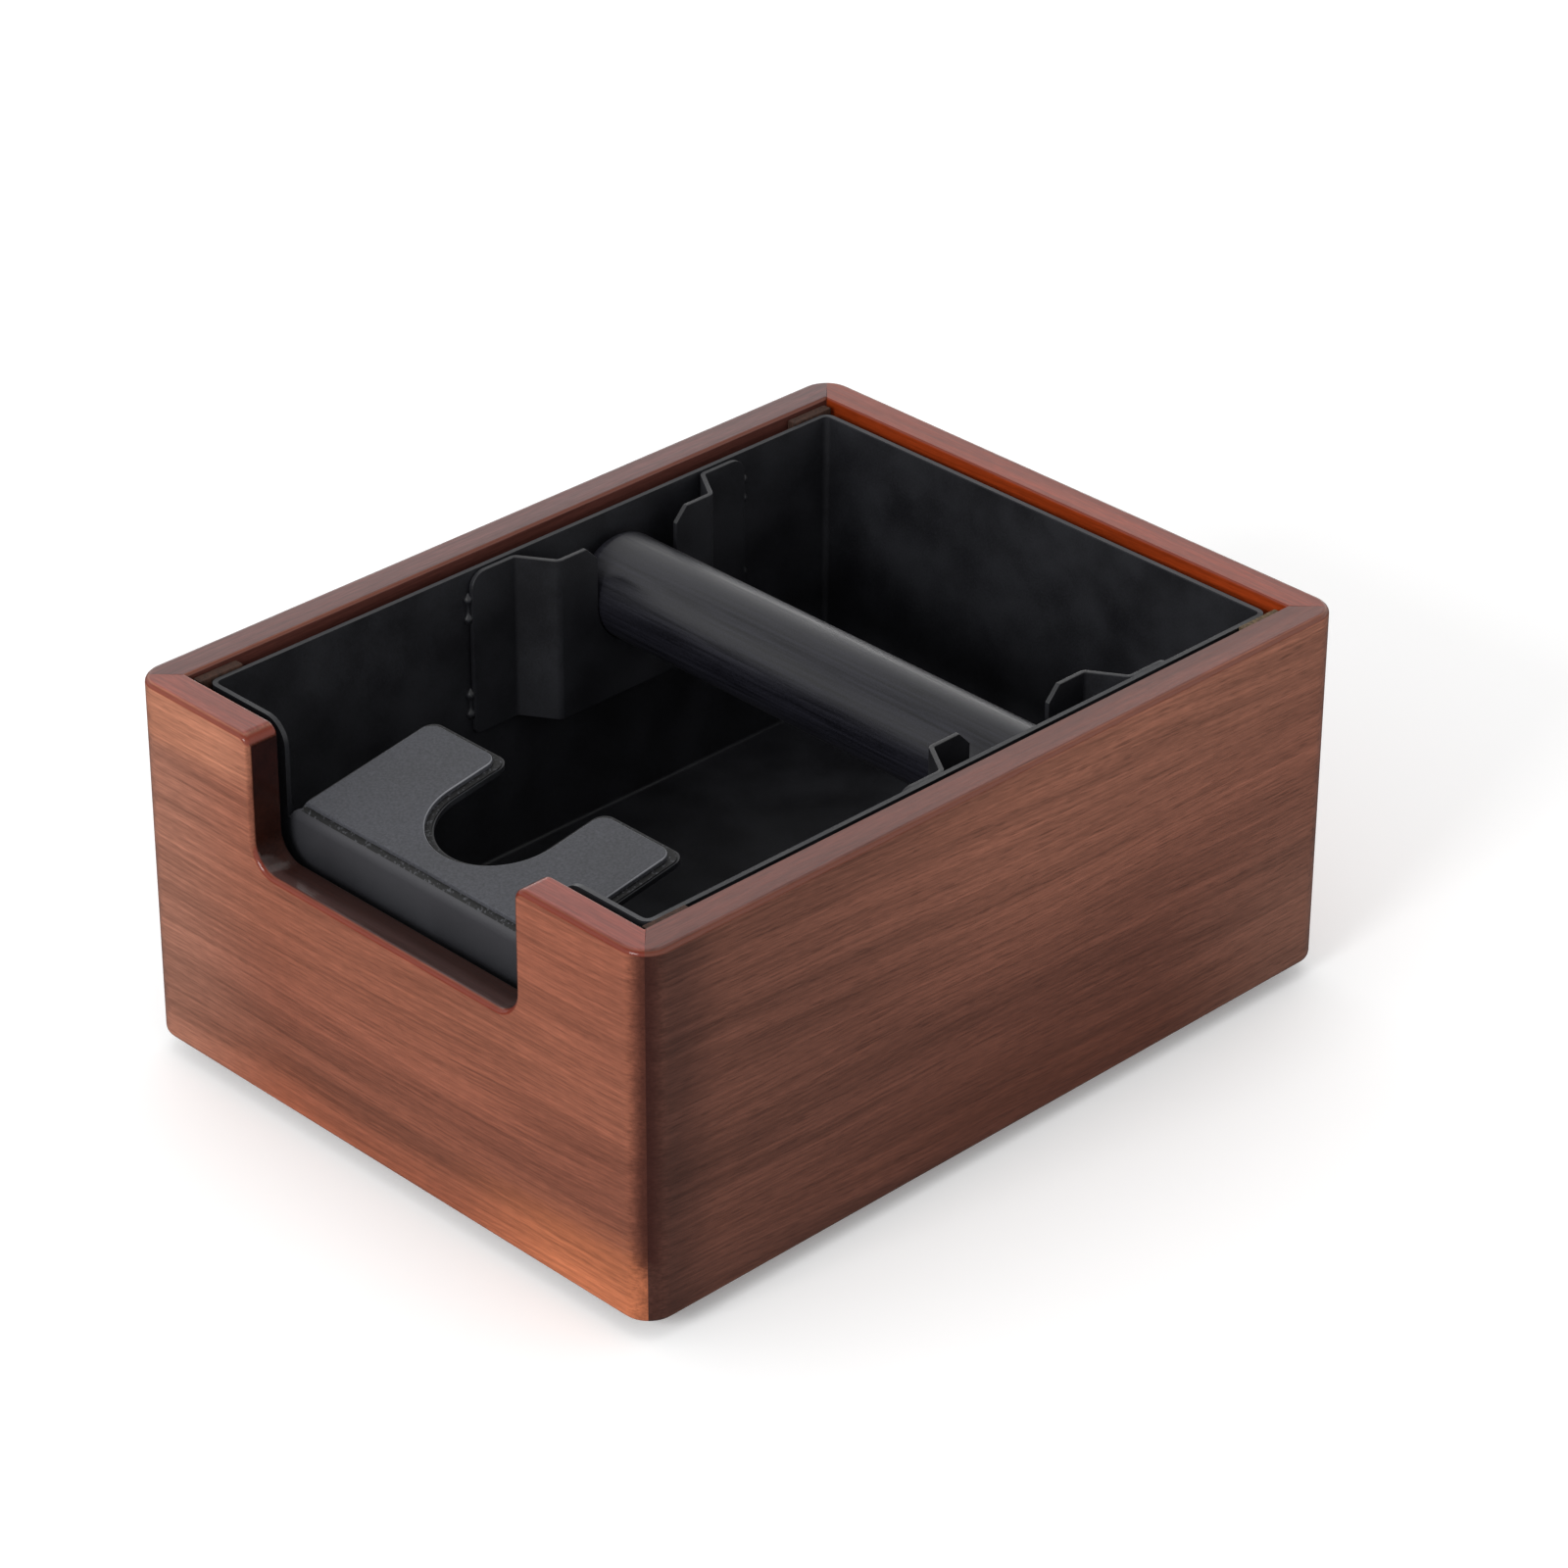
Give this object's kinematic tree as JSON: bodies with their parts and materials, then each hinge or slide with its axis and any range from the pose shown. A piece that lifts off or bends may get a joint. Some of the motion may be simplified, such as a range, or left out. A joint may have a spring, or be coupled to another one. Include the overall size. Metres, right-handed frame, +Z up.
{
  "type": "coffee grounds bin",
  "caption": "Walnut box with a lift-out powder-coated metal bin, a padded rest for a portafilter in its notched front and a rubber-sleeved knock bar across it.",
  "frame": {"origin": "centre of the footprint, on the surface that the feet stand on", "axes": "+X to the right seen from the front, +Y towards the back, +Z up; the notch and the rest are at -Y"},
  "size_m": [0.162, 0.212, 0.095],
  "materials": {
    "walnut": "walnut, stained red-brown and lacquered to a satin gloss",
    "raw_wood": "sawn, unlacquered",
    "powder_coat": "black powder coat, fine texture, matt",
    "silicone": "matt charcoal silicone",
    "black_rubber": "moulded, satin black",
    "steel": "drawn tube"
  },
  "bodies": {
    "case": {"front_board": "walnut", "right_board": "walnut", "back_board": "walnut", "left_board": "walnut", "base_panel": "walnut", "corner_block_front_left": "raw_wood", "corner_block_front_right": "raw_wood", "corner_block_back_left": "raw_wood", "corner_block_back_right": "raw_wood", "foot_front_left": "black_rubber", "foot_front_right": "black_rubber", "foot_back_left": "black_rubber", "foot_back_right": "black_rubber"},
    "bin": {"bin_tray": "powder_coat", "rest_pad": "silicone", "bar_bracket_left": "powder_coat", "bar_bracket_right": "powder_coat"},
    "knock_bar": {"bar_core": "steel", "bar_sleeve": "black_rubber", "bar_plug_left": "black_rubber", "bar_plug_right": "black_rubber"}
  },
  "joints": [
    {"name": "bin_lift", "type": "slide", "parent": "case", "child": "bin", "axis": [0, 0, 1], "range_m": [0, 0.1]},
    {"name": "bar_lift", "type": "slide", "parent": "bin", "child": "knock_bar", "axis": [0, 0, 1], "range_m": [0, 0.06]}
  ]
}
